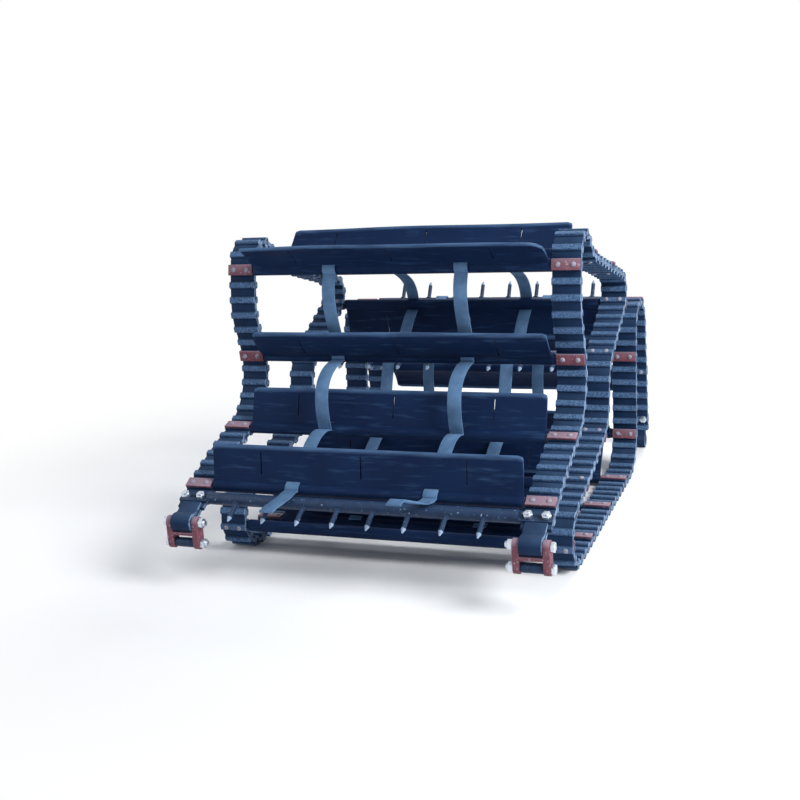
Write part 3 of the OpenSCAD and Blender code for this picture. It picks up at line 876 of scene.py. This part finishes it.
def flap_blank():
    section = flap_section()
    reach = FLAP_W / 2 - END_INSET
    middles = [((-1 + 2 * i / FLAP_COLUMNS) * reach, 1) for i in range(FLAP_COLUMNS + 1)]
    places = [(-FLAP_W / 2, END_SHARE)] + middles + [(FLAP_W / 2, END_SHARE)]
    blade = lofted([[(x, t * share, v) for t, v in section] for x, share in places])
    body = bpy.data.objects.new("flap_blank", as_mesh(blade, "flap_blank"))
    knife = bpy.data.objects.new("flap_knife", flap_knife())
    for part in (body, knife):
        scene.collection.objects.link(part)
    cut = body.modifiers.new("cut", "BOOLEAN")
    cut.object = knife
    cut.solver = "EXACT"
    mesh = applied(body)
    for part in (body, knife):
        bpy.data.objects.remove(part)
    return mesh


blank = flap_blank()
rim = blank.attributes.new("rim", "FLOAT", "POINT")
for vertex in blank.vertices:
    rim.data[vertex.index].value = 1.0 if vertex.co.z > FLAP_REACH - RIM else 0.0
print("flap blank:", len(blank.polygons), "faces")

# %% Set the flaps on their bars
# Bars with fingers in place of a flap, and their fingers' angle from the way of travel
FINGER_BARS = {8: -5, 17: 90}
FLAP_LEAN = 37
WAVE = 2.5 * MM
WAVE_RISE = 1.6
CORNER = 7 * MM
CORNERS = {4: (2 * MM, 34 * MM)}
# Roll of a flap in degrees, for those that the heap pushes over and for the rest
ROLLS = {3: 44, 4: -26, 5: -22, 18: 50}
LOOSE_ROLL = 6


def bent(co, waves, corners, roll):
    """Move one point of the blank for the waves and the roll of its flap."""
    x, t, v = co
    free = max((v - BOSS_R) / (FLAP_REACH - BOSS_R), 0)
    if not free:
        return x, t, v
    corner = corners[0] if x < 0 else corners[1]
    into = abs(x) - (FLAP_W / 2 - corner)
    if into > 0:
        v -= (corner - math.sqrt(max(corner ** 2 - into ** 2, 0))) * free
    wave = sum(size * math.sin(x / FLAP_W * turns * math.pi + start) for size, turns, start in waves)
    t += free ** WAVE_RISE * wave
    radius = (FLAP_REACH - BOSS_R) / roll
    turned = (v - BOSS_R) / radius
    return x, radius - (radius - t) * math.cos(turned), BOSS_R + (radius - t) * math.sin(turned)


def drawn_waves(draw):
    """Three soft waves of a flap, each as (height, half turns along the flap, start)."""
    return [(WAVE * draw.uniform(0.4, 1) / (i + 1), i + 1 + draw.random(), draw.uniform(0, 6))
            for i in range(3)]


for k in [k for k in range(1, BAR_COUNT + 1) if k not in FINGER_BARS]:
    draw = random.Random(k)
    waves = drawn_waves(draw)
    roll = math.radians(ROLLS.get(k, LOOSE_ROLL * draw.choice((-1, 1))))
    corners = CORNERS.get(k, (CORNER, CORNER))
    mesh = blank.copy()
    for vertex in mesh.vertices:
        vertex.co = bent(vertex.co, waves, corners, roll)
    y, z = off(station(k), ROD_N)
    a = math.radians(at(station(k))[2] + 90 - FLAP_LEAN)
    mesh.transform(Matrix(((1, 0, 0, 0), (0, math.sin(a), math.cos(a), y), (0, -math.cos(a), math.sin(a), z),
                           (0, 0, 0, 1))))
    node = "flap_%02d" % k
    flap = new_piece(node + "_blade", mesh, "web", flap_rubber)
    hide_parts(node)
print("flaps:", BAR_COUNT - len(FINGER_BARS))

# %% [markdown]
# ## Steel pieces with eased edges
# Sawn bars, pressed plates and nuts have no knife edges, and a small round on each is what catches the
# light. The solids are right as they are, so each piece is a copy of its solid, merged, with a bevel on
# the sharp edges.

# %% Eased copies of the steel solids
# Finish and edge round of each kind of steel
STEEL = {"bar_steel": (bar_steel, 0.8 * MM),
         "red_paint": (red_paint, 1.2 * MM),
         "zinc": (zinc_plate, 0.7 * MM)}
SAME_POINT = 0.001 * MM
FLAT_UNDER = math.radians(1)
SHARP_OVER = math.radians(40)


def eased(node, width):
    """A copy of a node's mesh with its sharp edges rounded."""
    shape = bmesh.new()
    shape.from_mesh(frame["nodes"][node].data)
    bmesh.ops.remove_doubles(shape, verts=shape.verts, dist=SAME_POINT)
    bmesh.ops.dissolve_limit(shape, angle_limit=FLAT_UNDER, verts=shape.verts, edges=shape.edges)
    carrier = bpy.data.objects.new("eased", as_mesh(shape, node))
    scene.collection.objects.link(carrier)
    bevel = carrier.modifiers.new("ease", "BEVEL")
    bevel.width = width
    bevel.segments = 2
    bevel.limit_method = "ANGLE"
    bevel.angle_limit = SHARP_OVER
    mesh = applied(carrier)
    bpy.data.objects.remove(carrier)
    return mesh


subparts = frame["record"]["subparts"]
steel_parts = [s for s in subparts if s["material_slot"] in STEEL and s["node"] != "fingers"]
for subpart in steel_parts:
    node, slot = subpart["node"], subpart["material_slot"]
    finish, ease = STEEL[slot]
    piece = new_piece(node + "_eased", eased(node, ease), body_of_node[node], finish)
    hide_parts(node)
print("eased steel pieces:", len(steel_parts))

# %% [markdown]
# ## Fingers
# The fingers are round rods welded to a tube, and their tapered tips are painted bright, partly as steel
# rubbed by the haulm and partly as a painted highlight. They are small and many, as the rivets and threads
# below are, so each kind is one tree on loose points that know which way they face. A finger is three
# cones in line: the shaft, the tip, and a ring of weld at its foot.

# %% Finger tree
FINGER_SIDES = 20
WELD_H = 4 * MM


def instanced(tree, size, shape):
    """Set a shape on every seed point, turned to the point's direction."""
    out = add(tree, "GeometryNodeInputNamedAttribute", {"Name": "out"}, data_type="FLOAT_VECTOR")
    turned = add(tree, "FunctionNodeAlignRotationToVector", {"Vector": out}, axis="Z")
    row = add(tree, "GeometryNodeInstanceOnPoints", {"Points": size["Geometry"], "Instance": shape,
              "Rotation": turned})
    return end_tree(tree, row, size["Finish"])


def finger_tree():
    tree, size = geometry_tree("finger", ("Radius", "Length", "Tip", "Foot"))
    radius = size["Radius"]
    shaft_end = add(tree, "ShaderNodeMath", {0: size["Length"], 1: size["Tip"]}, operation="SUBTRACT")
    blunt = add(tree, "ShaderNodeMath", {0: radius, 1: 0.3}, operation="MULTIPLY")
    weld = add(tree, "ShaderNodeMath", {0: radius, 1: 1.7}, operation="MULTIPLY")
    shaft = add(tree, "GeometryNodeMeshCone", {"Vertices": FINGER_SIDES, "Radius Top": radius,
                "Radius Bottom": radius, "Depth": shaft_end})
    tip = add(tree, "GeometryNodeMeshCone", {"Vertices": FINGER_SIDES, "Side Segments": 3,
              "Radius Top": blunt, "Radius Bottom": radius, "Depth": size["Tip"]})
    # The tip is painted bright, partly as steel rubbed by the haulm and partly as a painted highlight
    bright = add(tree, "GeometryNodeStoreNamedAttribute", {"Geometry": tip, "Name": "wear_and_highlight",
                 "Value": 1.0}, data_type="FLOAT", domain="POINT")
    ring = add(tree, "GeometryNodeMeshCone", {"Vertices": FINGER_SIDES, "Radius Top": radius,
               "Radius Bottom": weld, "Depth": WELD_H})
    whole = add(tree, "GeometryNodeJoinGeometry", {0: shaft})
    for part, height in ((bright, shaft_end), (ring, size["Foot"])):
        lift = add(tree, "ShaderNodeCombineXYZ", {2: height})
        raised = add(tree, "GeometryNodeTransform", {"Geometry": part, "Translation": lift})
        tree.links.new(raised.outputs[0], whole.inputs[0])
    return instanced(tree, size, whole)


fingers_tree = finger_tree()
print(fingers_tree.name, "with", len(fingers_tree.nodes), "nodes")

# %% Grow the fingers
FINGER_R = 5 * MM
FINGER_LEN = 46 * MM
FINGER_PITCH = 76 * MM
FINGERS_PER_ROW = 8
BACKWARDS = 180
WELD_BITE = 0.5 * MM


def direction(s, turn):
    """Direction at an angle from the way of travel, as a vector."""
    a = math.radians(at(s)[2] + turn)
    return Vector((0, math.cos(a), math.sin(a)))


def finger_points():
    rows = [(CLAMP_S, BACKWARDS)] + [(station(k), turn) for k, turn in FINGER_BARS.items()]
    points = []
    for s, turn in rows:
        y, z = off(s, ROD_N)
        for i in range(FINGERS_PER_ROW):
            x = (i - (FINGERS_PER_ROW - 1) / 2) * FINGER_PITCH
            points.append((Vector((x, y, z)), direction(s, turn)))
    return points


mesh = grown(fingers_tree, point_seed(finger_points()), Radius=FINGER_R, Length=TUBE_R + FINGER_LEN,
             Tip=2 * FINGER_R, Foot=TUBE_R - WELD_BITE, Finish=bar_steel)
fingers = new_piece("finger_rows", mesh, "web")
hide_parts("fingers")
print("fingers:", len(finger_points()))

# %% [markdown]
# ## Rivets
# Two rivets hold each clamp plate, through the bar's flat end and the belt. A bump in the material would
# not show in outline, so each head is a ball pressed flat, half sunk in the plate or in the belt's inner
# face. Where that face lies on the floor there is no room for a head, and the row is left out.

# %% Rivets
PLATE_TOP = 16 * MM
RIVET_R = 5.5 * MM
RIVET_H = 3 * MM
RIVET_SPAN = 32 * MM


def rivet_tree():
    tree, size = geometry_tree("rivet head", ("Radius", "Height"))
    ball = add(tree, "GeometryNodeMeshUVSphere", {"Segments": 16, "Rings": 8, "Radius": 1.0})
    scale = add(tree, "ShaderNodeCombineXYZ", {0: size["Radius"], 1: size["Radius"], 2: size["Height"]})
    dome = add(tree, "GeometryNodeTransform", {"Geometry": ball, "Scale": scale})
    return instanced(tree, size, dome)


def rivet_points():
    points = []
    for k in range(1, BAR_COUNT + 1):
        for n, turn in ((PLATE_TOP, 90), (-BELT_REACH, -90)):
            y, z = off(station(k), n)
            if z < BELT_BASE:
                continue
            for x in belt_x.values():
                places = [Vector((x + i * RIVET_SPAN / 2, y, z)) for i in (-1, 1)]
                points += [(place, direction(station(k), turn)) for place in places]
    return points


mesh = grown(rivet_tree(), point_seed(rivet_points()), Radius=RIVET_R, Height=RIVET_H, Finish=rivet_steel)
new_piece("plate_rivets", mesh, "web")
print("rivets:", len(rivet_points()))

# %% [markdown]
# ## Threads
# The coupling bolts stand a little proud of their nuts, and that end shows its thread. A true cut thread
# needs many faces. A spiral with a six-sided ridge, wound on the bolt's end, looks the same at this size.

# %% Threads
BOLT_R = 6 * MM
THREAD_PITCH = 1.75 * MM
THREAD_LEN = 4 * MM
RIDGE_SHARE = 0.34


def thread_tree():
    tree, size = geometry_tree("bolt thread", ("Radius", "Pitch", "Length"))
    turns = add(tree, "ShaderNodeMath", {0: size["Length"], 1: size["Pitch"]}, operation="DIVIDE")
    spiral = add(tree, "GeometryNodeCurveSpiral", {"Resolution": 24, "Rotations": turns,
                 "Start Radius": size["Radius"], "End Radius": size["Radius"], "Height": size["Length"]})
    ridge_r = add(tree, "ShaderNodeMath", {0: size["Pitch"], 1: RIDGE_SHARE}, operation="MULTIPLY")
    ridge = add(tree, "GeometryNodeCurvePrimitiveCircle", {"Resolution": 6, "Radius": ridge_r})
    coil = add(tree, "GeometryNodeCurveToMesh", {"Curve": spiral, "Profile Curve": ridge, "Fill Caps": True})
    return instanced(tree, size, coil)


threads_tree = thread_tree()
for hand, x in belt_x.items():
    inward = Vector((-1 if x > 0 else 1, 0, 0))
    low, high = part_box(hand + "_lower_nut")
    nut_face = high.x if inward.x > 0 else low.x
    for level, body, on_axis in (("upper", "web", "_eye_bush"), ("lower", hand + "_link", "_lower_nut")):
        centre = middle(hand + on_axis)
        start = Vector((nut_face, centre.y, centre.z))
        mesh = grown(threads_tree, point_seed([(start, inward)]), Radius=BOLT_R, Pitch=THREAD_PITCH,
                     Length=THREAD_LEN, Finish=zinc_plate)
        new_piece(f"{hand}_{level}_thread", mesh, body)
print("threads on four coupling bolts")

# %% [markdown]
# ## Floor and light
# The web stands on a plain white floor that runs into a white surround. The floor takes the soft shadow
# near the heap and fades into the surround further out. What the camera sees straight, in a gloss or
# through glass is white, while the light on the web stays at a plain level. Large lamps give that soft
# light: one high on the right, a weak one on the left and one behind.

# %% Floor
FLOOR_HALF = 8.0
FADE_START = 0.7
FADE_END = 1.7


def seen_directly(tree):
    """1 for what the camera sees straight, in a gloss or through glass, and 0 for light on the web."""
    path = add(tree, "ShaderNodeLightPath").outputs
    seen = add(tree, "ShaderNodeMath", {0: path["Is Camera Ray"], 1: path["Is Glossy Ray"]},
               operation="MAXIMUM")
    return add(tree, "ShaderNodeMath", {0: seen, 1: path["Is Transmission Ray"]}, operation="MAXIMUM")


def floor_material():
    material, tree, place = new_material("white_floor", Roughness=0.9, Base_Color=linear("#f4f5f6"))
    distance = add(tree, "ShaderNodeVectorMath", {0: place}, operation="LENGTH")
    fade = add(tree, "ShaderNodeMapRange", {0: distance.outputs["Value"], 1: FADE_START, 2: FADE_END},
               interpolation_type="SMOOTHSTEP")
    share = add(tree, "ShaderNodeMath", {0: fade, 1: seen_directly(tree)}, operation="MULTIPLY")
    white = add(tree, "ShaderNodeEmission", {"Color": linear("#ffffff"), "Strength": 1.0})
    mixed = add(tree, "ShaderNodeMixShader", {0: share, 1: tree.nodes["Principled BSDF"], 2: white})
    tree.links.new(mixed.outputs[0], tree.nodes["Material Output"].inputs[0])
    return material


floor_shape = bmesh.new()
bmesh.ops.create_grid(floor_shape, x_segments=1, y_segments=1, size=FLOOR_HALF)
floor = bpy.data.objects.new("floor", as_mesh(floor_shape, "floor"))
floor.data.materials.append(floor_material())
scene.collection.objects.link(floor)
floor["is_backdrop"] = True
print("floor of", 2 * FLOOR_HALF, "m")

# %% Surround and lamps
AMBIENT = 0.42
HEAP_MIDDLE = Vector((0, 0, 0.35))
# Place and size of each lamp in metres, and its power in watts
LAMPS = {"right_softbox": ((2.9, -1.2, 2.4), 1.8, 155),
         "left_softbox": ((-2.4, -1.8, 1.4), 1.6, 16),
         "rear_softbox": ((0.4, 2.6, 2.2), 1.6, 60)}


def white_surround():
    world = bpy.data.worlds.new("white_surround")
    world.use_nodes = True
    tree = world.node_tree
    ambient = tree.nodes["Background"]
    ambient.inputs["Color"].default_value = linear("#f2f6ff")
    ambient.inputs["Strength"].default_value = AMBIENT
    white = add(tree, "ShaderNodeBackground", {"Color": linear("#ffffff"), "Strength": 1.0})
    mixed = add(tree, "ShaderNodeMixShader", {0: seen_directly(tree), 1: ambient, 2: white})
    tree.links.new(mixed.outputs[0], tree.nodes["World Output"].inputs[0])
    return world


scene.world = white_surround()
for name, (place, size, power) in LAMPS.items():
    light = bpy.data.lights.new(name, "AREA")
    light.shape = "DISK"
    light.size = size
    light.energy = power
    holder = bpy.data.objects.new(name, light)
    holder.location = place
    holder.rotation_euler = (HEAP_MIDDLE - Vector(place)).to_track_quat("-Z", "Y").to_euler()
    scene.collection.objects.link(holder)
scene.view_settings.view_transform = "Standard"
print("white surround and", len(LAMPS), "lamps")

# %% [markdown]
# ## Size
# The last cell measures the box of the dressed web.

# %% Size of the dressed web
low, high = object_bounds()
